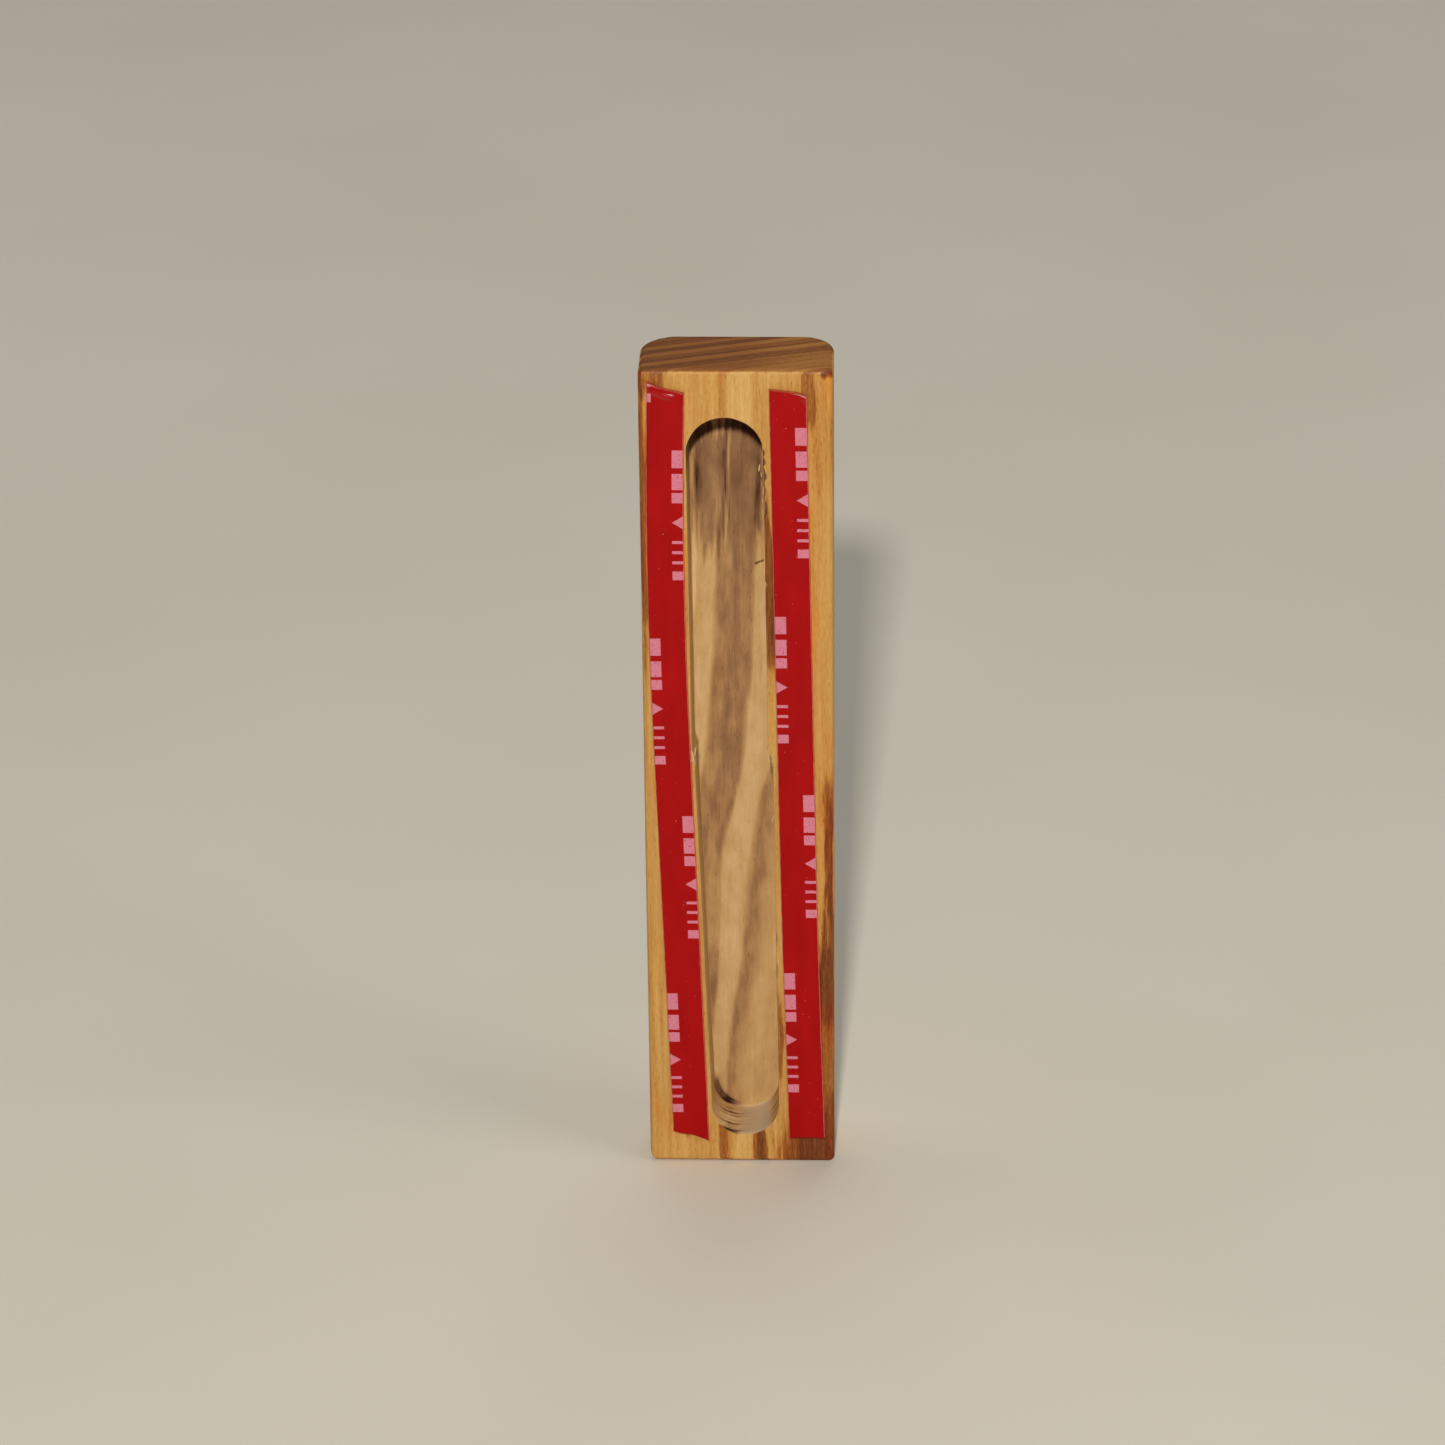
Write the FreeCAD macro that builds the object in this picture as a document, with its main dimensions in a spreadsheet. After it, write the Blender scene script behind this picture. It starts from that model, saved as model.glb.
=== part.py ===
import FreeCAD, Part
import os
from math import cos, radians, sin, tan

import Sketcher
from FreeCAD import Vector

# Olive-wood mezuzah case, seen as it is sold: empty, with its back open.
#
# Frame: origin under the middle of the case, +Z up along its length, the back with its
# pocket and its two tape strips facing -Y, the plain front facing +Y. Millimetres.
#
# The case is one block of wood. A router cut its pocket from the back in two passes that
# don't quite line up, which leaves a small step in both side walls. Each strip of
# double-sided foam tape was laid by hand beside the pocket: a straight run, a slight bend
# and another straight run, with its ends cut askew. A thin release liner covers each one.

SIZES = {
    # the block
    "case_width": 30.0,
    "case_height": 138.5,
    "case_depth": 15.0,
    "front_left_round": 6.0,  # upright front edges, sanded by hand, so not alike
    "front_right_round": 5.2,
    "back_round": 1.0,  # upright back edges
    "end_round": 0.8,  # all round the top and the bottom
    # the pocket: each pass is a slot from a foot centre to a head centre
    "pocket_depth": 9.25,
    "head_wall": 7.9,  # wood left above the pocket
    "foot_wall": 5.1,  # wood left below the pocket
    "upper_radius": 6.0,
    "upper_head_x": -1.75,
    "upper_foot_x": -1.4,
    "lower_head_x": -0.75,
    "lower_foot_x": 0.57,
    "lower_head_radius": 6.2,
    "lower_foot_radius": 5.45,
    "step_height": 72.3,  # where the passes meet
    "pass_overlap": 2.0,  # how far each pass runs past the step, to its end centre
    # the tape and its liner
    "tape_width": 5.8,
    "foam_thickness": 1.0,
    "liner_thickness": 0.1,
    # left strip: gaps are from the case's end to the strip's corner
    "left_clearance": 0.3,  # inner edge to the pocket, where the strip starts to bend
    "left_low_lean": 1.83,  # degrees towards -X, below and above the bend
    "left_high_lean": -1.51,
    "left_bend_drop": 59.2,  # from the case's top down to where the bend starts
    "left_bend_radius": 938.0,
    "left_foot_gap_outer": 6.2,
    "left_foot_gap_inner": 4.8,
    "left_head_gap_outer": 1.9,
    "left_head_gap_inner": 3.7,
    # right strip
    "right_clearance": 1.1,
    "right_low_lean": 1.61,
    "right_high_lean": 0.92,
    "right_bend_rise": 25.3,  # from the case's foot up to where the bend starts
    "right_bend_radius": 3000.0,
    "right_foot_gap_outer": 5.1,
    "right_foot_gap_inner": 5.1,
    "right_head_gap_outer": 3.9,
    "right_head_gap_inner": 3.0,
}

# Where the back face lies, so that the case and its liners are centred about Y = 0.
BACK_Y = "(Sizes.foam_thickness + Sizes.liner_thickness - Sizes.case_depth) / 2"

# How high each strip's inner edge starts to bend, and where: a clearance from the pocket.
BEND_Z = {
    "left": "Sizes.case_height - Sizes.left_bend_drop",
    "right": "Sizes.right_bend_rise",
}
BEND_X = {
    "left": "Sizes.upper_foot_x - Sizes.upper_radius - Sizes.left_clearance",
    "right": "Sizes.lower_foot_x + Sizes.lower_foot_radius + Sizes.right_clearance",
}

SAME = 1e-4  # mm, how near two places count as the same
START, END, CENTRE = 1, 2, 3  # a sketch element's points

doc = FreeCAD.newDocument("MezuzahCase")


def make_sheet():
    """The spreadsheet of driving dimensions: a name and a number on each row."""
    sheet = doc.addObject("Spreadsheet::Sheet", "Sizes")
    for row, (name, value) in enumerate(SIZES.items(), start=1):
        sheet.set(f"A{row}", name)
        sheet.set(f"B{row}", str(value))
        sheet.setAlias(f"B{row}", name)
    doc.recompute()
    return sheet


def size(name):
    """A driving dimension, as the sheet holds it."""
    return float(sizes.get(name))


def value_of(expression):
    """What an expression in the sheet's names comes to."""
    return float(sizes.evalExpression(expression.replace("Sizes.", "")))


def new_body(label):
    body = doc.addObject("PartDesign::Body", label)
    body.Label = label
    return body


def new_sketch(body, name, plane):
    """An empty sketch on one of the body's own origin planes."""
    sketch = body.newObject("Sketcher::SketchObject", name)
    support = next(f for f in body.Origin.OriginFeatures if f.Role == plane)
    sketch.AttachmentSupport = [(support, "")]
    sketch.MapMode = "FlatFace"
    return sketch


def dimension(sketch, expression, kind, *where):
    """Adds a dimension to a sketch and ties it to the sheet."""
    number = value_of(expression)
    datum = radians(number) if kind == "Angle" else number
    index = sketch.addConstraint(Sketcher.Constraint(kind, *where, datum))
    unit = " * 1 deg" if kind == "Angle" else ""
    sketch.setExpression(f"Constraints[{index}]", f"({expression}){unit}")


def join(sketch, *pairs, kind="Coincident"):
    for first, first_point, second, second_point in pairs:
        constraint = Sketcher.Constraint(kind, first, first_point, second, second_point)
        sketch.addConstraint(constraint)


def pad(body, sketch, name, expression):
    feature = body.newObject("PartDesign::Pad", name)
    feature.Profile = sketch
    feature.setExpression("Length", expression)
    sketch.Visibility = False
    doc.recompute()
    return feature


def edges_where(shape, wanted):
    """Names of the edges whose bounding box meets a test."""
    edges = enumerate(shape.Edges, start=1)
    return [f"Edge{number}" for number, edge in edges if wanted(edge.BoundBox)]


def round_edges(body, base, name, wanted, expression):
    feature = body.newObject("PartDesign::Fillet", name)
    feature.Base = (base, edges_where(base.Shape, wanted))
    feature.setExpression("Radius", expression)
    doc.recompute()
    return feature


def upright_at(x, y):
    """A test for a straight upright edge that stands at a given place."""

    def test(box):
        flat = box.XLength < SAME and box.YLength < SAME and box.ZLength > SAME
        return flat and abs(box.XMin - x) < SAME and abs(box.YMin - y) < SAME

    return test


def slot_sketch(body, name, foot, head):
    """A slot from a foot end to a head end, each given as expressions: x, z and radius."""
    sketch = new_sketch(body, name, "XZ_Plane")
    foot_x, foot_z, foot_r = [value_of(e) for e in foot]
    head_x, head_z, head_r = [value_of(e) for e in head]
    up = Vector(0, 0, 1)
    foot_circle = Part.Circle(Vector(foot_x, foot_z, 0), up, foot_r)
    head_circle = Part.Circle(Vector(head_x, head_z, 0), up, head_r)
    foot_arc = sketch.addGeometry(Part.ArcOfCircle(foot_circle, radians(180), radians(360)))
    head_arc = sketch.addGeometry(Part.ArcOfCircle(head_circle, 0, radians(180)))
    right_foot = Vector(foot_x + foot_r, foot_z, 0)
    right_head = Vector(head_x + head_r, head_z, 0)
    left_head = Vector(head_x - head_r, head_z, 0)
    left_foot = Vector(foot_x - foot_r, foot_z, 0)
    right = sketch.addGeometry(Part.LineSegment(right_foot, right_head))
    left = sketch.addGeometry(Part.LineSegment(left_head, left_foot))
    join(
        sketch,
        (foot_arc, END, right, START),
        (right, END, head_arc, START),
        (head_arc, END, left, START),
        (left, END, foot_arc, START),
        kind="Tangent",
    )
    for arc, (x, z, radius) in ((foot_arc, foot), (head_arc, head)):
        dimension(sketch, radius, "Radius", arc)
        dimension(sketch, x, "DistanceX", -1, START, arc, CENTRE)
        dimension(sketch, z, "DistanceY", -1, START, arc, CENTRE)
    return sketch


def cut_pocket(body, name, foot, head):
    """One router pass into the back, checked to have taken wood away."""
    before = body.Shape.Volume
    sketch = slot_sketch(body, name + "Outline", foot, head)
    feature = body.newObject("PartDesign::Pocket", name)
    feature.Profile = sketch
    feature.setExpression("Length", "Sizes.pocket_depth")
    sketch.Visibility = False
    doc.recompute()
    if body.Shape.Volume > before - size("pocket_depth"):
        raise RuntimeError(f"{name} took no wood away")
    return feature


def make_case():
    """The block, its rounded edges and the two passes of its pocket."""
    body = new_body("case_body")
    plan = new_sketch(body, "Plan", "XY_Plane")
    half, depth, height = size("case_width") / 2, size("case_depth"), size("case_height")
    corners = [(-half, 0), (half, 0), (half, depth), (-half, depth)]
    points = [Vector(x, y, 0) for x, y in corners]
    lines = [
        plan.addGeometry(Part.LineSegment(points[i], points[(i + 1) % 4])) for i in range(4)
    ]
    join(plan, *[(lines[i], END, lines[(i + 1) % 4], START) for i in range(4)])
    for line, way in zip(lines, ("Horizontal", "Vertical", "Horizontal", "Vertical"), strict=True):
        plan.addConstraint(Sketcher.Constraint(way, line))
    plan.addConstraint(Sketcher.Constraint("PointOnObject", lines[0], START, -1))
    dimension(plan, "Sizes.case_width", "DistanceX", lines[0], START, lines[0], END)
    dimension(plan, "Sizes.case_width / 2", "DistanceX", lines[0], START, -1, START)
    dimension(plan, "Sizes.case_depth", "DistanceY", lines[1], START, lines[1], END)

    feature = pad(body, plan, "Block", "Sizes.case_height")
    for name, x, radius in (
        ("FrontLeftRound", -half, "Sizes.front_left_round"),
        ("FrontRightRound", half, "Sizes.front_right_round"),
    ):
        feature = round_edges(body, feature, name, upright_at(x, depth), radius)
    for name, x in (("BackLeftRound", -half), ("BackRightRound", half)):
        feature = round_edges(body, feature, name, upright_at(x, 0), "Sizes.back_round")

    def at_an_end(box):
        level = box.ZLength < SAME
        return level and (abs(box.ZMin) < SAME or abs(box.ZMin - height) < SAME)

    # an end's round has to be smaller than the round of the uprights that it meets
    end_radius = "min(Sizes.end_round; 0.9 * Sizes.back_round)"
    round_edges(body, feature, "EndRounds", at_an_end, end_radius)

    upper_head_z = "Sizes.case_height - Sizes.head_wall - Sizes.upper_radius"
    lower_foot_z = "Sizes.foot_wall + Sizes.lower_foot_radius"
    cut_pocket(
        body,
        "UpperPass",
        ("Sizes.upper_foot_x", "Sizes.step_height + Sizes.pass_overlap", "Sizes.upper_radius"),
        ("Sizes.upper_head_x", upper_head_z, "Sizes.upper_radius"),
    )
    cut_pocket(
        body,
        "LowerPass",
        ("Sizes.lower_foot_x", lower_foot_z, "Sizes.lower_foot_radius"),
        ("Sizes.lower_head_x", "Sizes.step_height - Sizes.pass_overlap", "Sizes.lower_head_radius"),
    )
    body.setExpression("Placement.Base.y", BACK_Y)
    return body


def strip_corners(side):
    """Where a strip's outline turns: for its -X edge and then its +X edge, the points at
    the foot, at both ends of the bend and at the head, and the bend's centre."""
    low, high = [radians(size(f"{side}_{run}_lean")) for run in ("low", "high")]
    width, radius = size("tape_width"), size(f"{side}_bend_radius")
    anchor = Vector(value_of(BEND_X[side]), value_of(BEND_Z[side]), 0)
    near = radius - width if side == "left" else radius  # the anchored edge's own radius
    centre = anchor + Vector(cos(low), sin(low), 0) * near
    edges = []
    for own_radius, place in ((radius, 0), (radius - width, 1)):
        outer = (place == 0) == (side == "left")
        end = "outer" if outer else "inner"
        foot_z = size(f"{side}_foot_gap_{end}")
        head_z = size("case_height") - size(f"{side}_head_gap_{end}")
        start = centre - Vector(cos(low), sin(low), 0) * own_radius
        stop = centre - Vector(cos(high), sin(high), 0) * own_radius
        foot = Vector(start.x + tan(low) * (start.y - foot_z), foot_z, 0)
        head = Vector(stop.x - tan(high) * (head_z - stop.y), head_z, 0)
        edges.append((foot, start, stop, head))
    return edges, centre


def strip_sketch(body, name, side):
    """A strip's outline: two long edges, each a run, an arc and a run about one centre,
    and the two askew cuts that close them."""
    sketch = new_sketch(body, name, "XZ_Plane")
    low, high = [radians(size(f"{side}_{run}_lean")) for run in ("low", "high")]
    (left, right), centre = strip_corners(side)
    runs = []
    for foot, start, stop, head in (left, right):
        circle = Part.Circle(centre, Vector(0, 0, 1), (start - centre).Length)
        low_run = sketch.addGeometry(Part.LineSegment(foot, start))
        bend = sketch.addGeometry(Part.ArcOfCircle(circle, radians(180) + high, radians(180) + low))
        high_run = sketch.addGeometry(Part.LineSegment(stop, head))
        runs.append((low_run, bend, high_run))
        join(sketch, (low_run, END, bend, END), (bend, START, high_run, START), kind="Tangent")
    (left_low, left_bend, left_high), (right_low, right_bend, right_high) = runs
    foot_cut = sketch.addGeometry(Part.LineSegment(left[0], right[0]))
    head_cut = sketch.addGeometry(Part.LineSegment(left[3], right[3]))
    join(
        sketch,
        (foot_cut, START, left_low, START),
        (foot_cut, END, right_low, START),
        (head_cut, START, left_high, END),
        (head_cut, END, right_high, END),
        (left_bend, CENTRE, right_bend, CENTRE),
    )
    sketch.addConstraint(Sketcher.Constraint("Parallel", left_low, right_low))
    sketch.addConstraint(Sketcher.Constraint("Parallel", left_high, right_high))
    dimension(sketch, f"Sizes.{side}_bend_radius", "Radius", left_bend)
    dimension(sketch, f"Sizes.{side}_bend_radius - Sizes.tape_width", "Radius", right_bend)
    dimension(sketch, f"90 + Sizes.{side}_low_lean", "Angle", left_low)
    dimension(sketch, f"90 + Sizes.{side}_high_lean", "Angle", left_high)
    inner_low = right_low if side == "left" else left_low
    dimension(sketch, BEND_X[side], "DistanceX", -1, START, inner_low, END)
    dimension(sketch, BEND_Z[side], "DistanceY", -1, START, inner_low, END)
    ends = ("outer", "inner") if side == "left" else ("inner", "outer")
    for low_run, high_run, end in ((left_low, left_high, ends[0]), (right_low, right_high, ends[1])):
        foot_z = f"Sizes.{side}_foot_gap_{end}"
        head_z = f"Sizes.case_height - Sizes.{side}_head_gap_{end}"
        dimension(sketch, foot_z, "DistanceY", -1, START, low_run, START)
        dimension(sketch, head_z, "DistanceY", -1, START, high_run, END)
    return sketch


def make_strip(label, side, thickness, stand_off):
    """One layer of a tape strip: padded outwards from the face that it lies on."""
    body = new_body(label)
    sketch = strip_sketch(body, label + "_outline", side)
    pad(body, sketch, label + "_layer", thickness)
    body.setExpression("Placement.Base.y", f"{BACK_Y} - {stand_off}")
    return body


def check(bodies):
    """Stops the build if anything in the document failed or any solid is unsound."""
    doc.recompute()
    for item in doc.Objects:
        if "Invalid" in item.State or "Error" in item.State:
            raise RuntimeError(f"{item.Label} failed: {item.State}")
    for body in bodies:
        shape = body.Shape
        if shape.isNull() or not shape.isValid() or len(shape.Solids) != 1:
            raise RuntimeError(f"{body.Label} is not one sound solid")


sizes = make_sheet()
parts = [make_case()]
for strip in ("left", "right"):
    parts.append(make_strip(f"foam_tape_{strip}", strip, "Sizes.foam_thickness", "0"))
    parts.append(
        make_strip(
            f"release_liner_{strip}", strip, "Sizes.liner_thickness", "Sizes.foam_thickness"
        )
    )
check(parts)

os.makedirs("parts", exist_ok=True)
for part in parts:
    part.Shape.exportStep(f"parts/{part.Label}.step")
    box = part.Shape.BoundBox
    print(
        f"{part.Label}: {part.Shape.Volume:.1f} mm3, X {box.XMin:.2f} to {box.XMax:.2f}, "
        f"Y {box.YMin:.2f} to {box.YMax:.2f}, Z {box.ZMin:.2f} to {box.ZMax:.2f}"
    )
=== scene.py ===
import math

import bmesh
import bpy
import numpy as np
from mathutils import Matrix, Vector, noise


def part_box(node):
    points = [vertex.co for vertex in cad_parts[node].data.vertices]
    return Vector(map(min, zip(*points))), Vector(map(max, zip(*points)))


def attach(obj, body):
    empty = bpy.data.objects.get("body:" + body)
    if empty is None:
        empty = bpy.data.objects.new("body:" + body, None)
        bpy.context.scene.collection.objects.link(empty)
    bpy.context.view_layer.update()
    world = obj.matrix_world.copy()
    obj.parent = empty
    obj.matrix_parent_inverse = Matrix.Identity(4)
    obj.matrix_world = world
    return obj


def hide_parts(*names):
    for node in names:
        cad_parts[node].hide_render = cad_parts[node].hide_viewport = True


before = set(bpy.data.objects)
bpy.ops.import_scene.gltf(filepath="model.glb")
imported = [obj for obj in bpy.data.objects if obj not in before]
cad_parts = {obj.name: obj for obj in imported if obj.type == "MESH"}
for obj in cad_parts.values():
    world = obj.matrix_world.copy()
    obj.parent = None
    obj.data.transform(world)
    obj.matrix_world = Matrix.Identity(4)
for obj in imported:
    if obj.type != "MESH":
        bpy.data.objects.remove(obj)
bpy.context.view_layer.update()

MM = 0.001
CASE_LOW, CASE_HIGH = (tuple(value / MM for value in corner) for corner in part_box("case_body"))
LEFT, BACK, FOOT = CASE_LOW
RIGHT, FRONT, HEAD = CASE_HIGH
WIDTH, DEPTH, HEIGHT = RIGHT - LEFT, FRONT - BACK, HEAD - FOOT
MIDDLE_X, MIDDLE_Y, MIDDLE_Z = (LEFT + RIGHT) / 2, (BACK + FRONT) / 2, (FOOT + HEAD) / 2

# The pocket is two router passes, each a slot whose radius runs evenly from its foot to
# its head. Each end is (x, height above the foot of the case, radius).
UPPER_PASS = ((-1.4, 74.3, 6.0), (-1.75, 124.6, 6.0))
LOWER_PASS = ((0.57, 10.55, 5.45), (-0.75, 70.3, 6.2))
POCKET_DEPTH = 9.25
POCKET_FLOOR = BACK + POCKET_DEPTH
POCKET_DRAFT = 0.12
FLOOR_FILLET = 0.3
RIM_ROUND = 0.16

# The outside: the back's edges are nearly crisp, the front's are well rounded.
FRONT_LEFT_ROUND = 6.0
FRONT_RIGHT_ROUND = 5.2
BACK_ROUND = 0.9
END_ROUND = 0.9
CORNER_ROUND = 1.0
WORN_CORNER_ROUND = 2.0


# ---------------------------------------------------------------- geometry helpers

GRADING_SAMPLES = 4001
# How far apart two neighbouring seeds lie in the noise.
NOISE_STRIDE = (17.3, 5.9, 11.1)
# Points closer than WELD are joined, and edges shorter than SLIVER are closed up.
WELD = 0.002
SLIVER = 0.001


def graded(length, step, spots=()):
    """Places along a length, a step apart, and closer near each (place, reach, step) spot."""
    fine = np.linspace(0.0, length, GRADING_SAMPLES)
    density = np.full(fine.size, 1.0 / step)
    for place, reach, close in spots:
        near = np.clip(2.0 - np.abs(fine - place) / reach, 0.0, 1.0)
        density += near * (1.0 / close - 1.0 / step)
    grown = np.concatenate([[0.0], np.cumsum((density[1:] + density[:-1]) / 2 * np.diff(fine))])
    count = max(2, round(grown[-1]))
    return np.interp(np.linspace(0.0, grown[-1], count + 1), grown, fine)


def smooth_step(value, low, high):
    """0 below low, 1 above high and smooth between."""
    share = np.clip((value - low) / (high - low), 0.0, 1.0)
    return share * share * (3.0 - 2.0 * share)


def span(value, rise, fall):
    """1 between two soft edges, each given as (start, end), and 0 outside them."""
    return smooth_step(value, *rise) - smooth_step(value, *fall)


def noise_at(points, size, seed):
    """Smooth noise from about -1 to 1 at each point; size is the grain's size along X, Y and Z."""
    shift = Vector([seed * stride for stride in NOISE_STRIDE])
    return np.array([
        noise.noise(Vector((p[0] / size[0], p[1] / size[1], p[2] / size[2])) + shift)
        for p in points
    ])


def link_new(name, data):
    """A new object of the given mesh, light or camera, in the scene."""
    thing = bpy.data.objects.new(name, data)
    bpy.context.scene.collection.objects.link(thing)
    return thing


def new_object(name, vertices, faces, attributes):
    """A mesh object from millimetre points, with named numbers stored on its vertices."""
    mesh = bpy.data.meshes.new(name)
    mesh.from_pydata((np.asarray(vertices) * MM).tolist(), [], faces)
    for label, values in attributes:
        layer = mesh.attributes.new(label, "FLOAT", "POINT")
        layer.data.foreach_set("value", np.asarray(values, np.float32))
    thing = link_new(name, mesh)
    cleaner = bmesh.new()
    cleaner.from_mesh(mesh)
    bmesh.ops.remove_doubles(cleaner, verts=cleaner.verts, dist=WELD * MM)
    bmesh.ops.dissolve_degenerate(cleaner, edges=cleaner.edges, dist=SLIVER * MM)
    bmesh.ops.recalc_face_normals(cleaner, faces=cleaner.faces)
    cleaner.to_mesh(mesh)
    cleaner.free()
    mesh.polygons.foreach_set("use_smooth", [True] * len(mesh.polygons))
    mesh.update()
    return thing


# ---------------------------------------------------------------- the case's shape

def pass_distance(x, z, ends):
    """Distance to the outline of one router pass, negative inside it."""
    (foot_x, foot_z, foot_r), (head_x, head_z, head_r) = ends
    run_x = head_x - foot_x
    run_z = head_z - foot_z
    share = ((x - foot_x) * run_x + (z - foot_z) * run_z) / (run_x ** 2 + run_z ** 2)
    share = np.clip(share, 0.0, 1.0)
    across = np.hypot(x - foot_x - share * run_x, z - foot_z - share * run_z)
    return across - (foot_r + share * (head_r - foot_r))


def pocket_distance(x, z):
    """Distance to the pocket's outline, negative inside it."""
    return np.minimum(pass_distance(x, z, UPPER_PASS), pass_distance(x, z, LOWER_PASS))


def outline_distance(x, z):
    """Distance to the case's upright outline before any rounding, negative inside it."""
    return np.maximum(np.abs(x - MIDDLE_X) - WIDTH / 2, np.abs(z - MIDDLE_Z) - HEIGHT / 2)


def rounded_corner(a, b, radius):
    """Joins two distances, each negative inside, with a round of the given radius."""
    outer = np.hypot(np.maximum(a + radius, 0.0), np.maximum(b + radius, 0.0))
    return outer + np.minimum(np.maximum(a + radius, b + radius), 0.0) - radius


def case_distance(points):
    """Distance to the case's outer skin, negative inside the wood."""
    x, y, z = points.T
    front_round = np.where(x < MIDDLE_X, FRONT_LEFT_ROUND, FRONT_RIGHT_ROUND)
    side_round = np.where(y > MIDDLE_Y, front_round, BACK_ROUND)
    sides = np.abs(x - MIDDLE_X) - WIDTH / 2
    faces = np.abs(y - MIDDLE_Y) - DEPTH / 2
    ends = np.abs(z - MIDDLE_Z) - HEIGHT / 2
    section = rounded_corner(sides, faces, side_round)
    whole = rounded_corner(section, ends, END_ROUND)
    worn = np.where((x < MIDDLE_X) & (z < MIDDLE_Z), WORN_CORNER_ROUND, CORNER_ROUND)
    return np.maximum(whole, rounded_corner(sides, ends, worn))


def onto_case(points):
    """Moves points to the nearest place on the case's outer skin."""
    step, passes, least_slope = 0.01, 12, 0.3
    for _ in range(passes):
        gap = case_distance(points)
        slope = np.stack([
            case_distance(points + step * axis) - case_distance(points - step * axis)
            for axis in np.eye(3)
        ], axis=1) / (2 * step)
        size = np.maximum(np.linalg.norm(slope, axis=1), least_slope)
        points = points - (gap / size)[:, None] * slope / size[:, None]
    return points


def ray_length(starts, ways, distance, far):
    """How far along each ray, up to far, the distance turns from negative to positive."""
    low = np.zeros(len(starts))
    high = np.full(len(starts), far)
    halvings = 40
    for _ in range(halvings):
        middle = (low + high) / 2
        spot = starts + middle[:, None] * ways
        inside = distance(spot[:, 0], spot[:, 1]) < 0
        low = np.where(inside, middle, low)
        high = np.where(inside, high, middle)
    return (low + high) / 2


# The skin's columns are COLUMN_STEP apart along the pocket's spine and along the case's ends.
# They are closer near the step in the walls, the torn places and the case's corners.
COLUMN_STEP = 0.5
CLOSE_HEIGHTS = ((72.5, 4.0, 0.2), (119.0, 5.0, 0.3), (102.5, 1.5, 0.3), (30.0, 9.0, 0.35))
CLOSE_CORNER = (1.2, 0.2)
# A ray to an end is left out where it is nearly sideways, beside the spine's own rays.
MOST_SIDEWAYS = 0.999
LEAST_OUTWARD = 0.02


def columns():
    """Rays once round the case, from the pocket's spine outward, in the upright plane."""
    foot = np.array(LOWER_PASS[0][:2])
    head = np.array(UPPER_PASS[1][:2])
    run = head - foot
    length = np.linalg.norm(run)
    along = run / length
    rightward = np.array([along[1], -along[0]])
    spots = [(height - foot[1], near, step) for height, near, step in CLOSE_HEIGHTS]
    places = graded(length, COLUMN_STEP, spots)
    spine = foot + places[:, None] * along

    def cap(centre, edge, outward):
        """Ray directions from a spine end to places up one side, across the end and down."""
        rise = abs(edge - centre[1])
        corners = ((rise, *CLOSE_CORNER), (rise + WIDTH, *CLOSE_CORNER))
        path = graded(2 * rise + WIDTH, COLUMN_STEP, corners)
        up = np.minimum(path, rise) - np.maximum(path - rise - WIDTH, 0.0)
        across = RIGHT - np.clip(path - rise, 0.0, WIDTH)
        targets = np.stack([across, centre[1] + up * np.sign(edge - centre[1])], axis=1)
        ways = targets - centre
        ways /= np.linalg.norm(ways, axis=1)[:, None]
        return ways[(np.abs(ways @ rightward) < MOST_SIDEWAYS) & (ways @ outward > LEAST_OUTWARD)]

    def repeat(way, others):
        return np.tile(way, (len(others), 1))

    head_ways = cap(head, HEAD, along)
    foot_ways = cap(foot, FOOT, -along)[::-1]
    starts = np.concatenate([spine, repeat(head, head_ways), spine[::-1], repeat(foot, foot_ways)])
    ways = np.concatenate([
        repeat(rightward, spine), head_ways, repeat(-rightward, spine), foot_ways,
    ])
    return starts, ways


# Bites out of the pocket's rim: (side, height, half length, bite outward, depth down the wall).
CHIPS = (
    (1, 123.4, 0.7, 0.30, 1.0),
    (1, 121.3, 1.1, 0.45, 1.6),
    (1, 118.6, 0.5, 0.20, 1.2),
    (1, 116.3, 0.9, 0.25, 1.0),
    (1, 102.6, 0.6, 0.45, 1.0),
    (1, 73.2, 0.8, 0.40, 2.4),
    (-1, 72.6, 0.9, 0.30, 2.0),
    (-1, 90.2, 0.6, 0.15, 0.5),
    (1, 40.5, 1.3, 0.26, 0.9),
    (1, 35.0, 1.6, 0.34, 1.2),
    (1, 29.5, 1.2, 0.26, 0.9),
    (1, 24.0, 1.4, 0.20, 0.8),
)


def chip_bite(side, heights, depth):
    """How far the wall is chipped outward at each height, at one depth below the rim."""
    bite = np.zeros(len(heights))
    for chip_side, height, half, out, deep in CHIPS:
        near = np.clip(1.0 - np.abs(heights - height) / half, 0.0, 1.0) ** 0.6
        bite += (side == chip_side) * out * near * max(0.0, 1.0 - depth / deep)
    return bite


# How the rings of the skin are set along the pocket's floor, the back, the sides and the
# front: (step, closer spots), in millimetres on the sides and in shares of the way elsewhere.
FLOOR_RINGS = (1.0 / 10, ((1.0, 0.06, 0.03),))
BACK_RINGS = (1.0 / 15, ((0.0, 0.06, 0.03), (1.0, 0.1, 0.025)))
SIDE_RINGS = (0.75, ((0.0, 0.9, 0.22),))
FRONT_RINGS = (1.0 / 22,)
WALL_STEP = 0.7
WALL_FOOT_SPOT = (1.2, 0.25)
FILLET_TURNS = np.radians([30.0, 60.0, 90.0])
RIM_TURNS = np.radians([35.0, 65.0, 90.0])
# Longer than any ray from the spine to the pocket's rim, and to the case's outline.
RIM_FAR, OUTLINE_FAR = 12.0, 40.0


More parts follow.
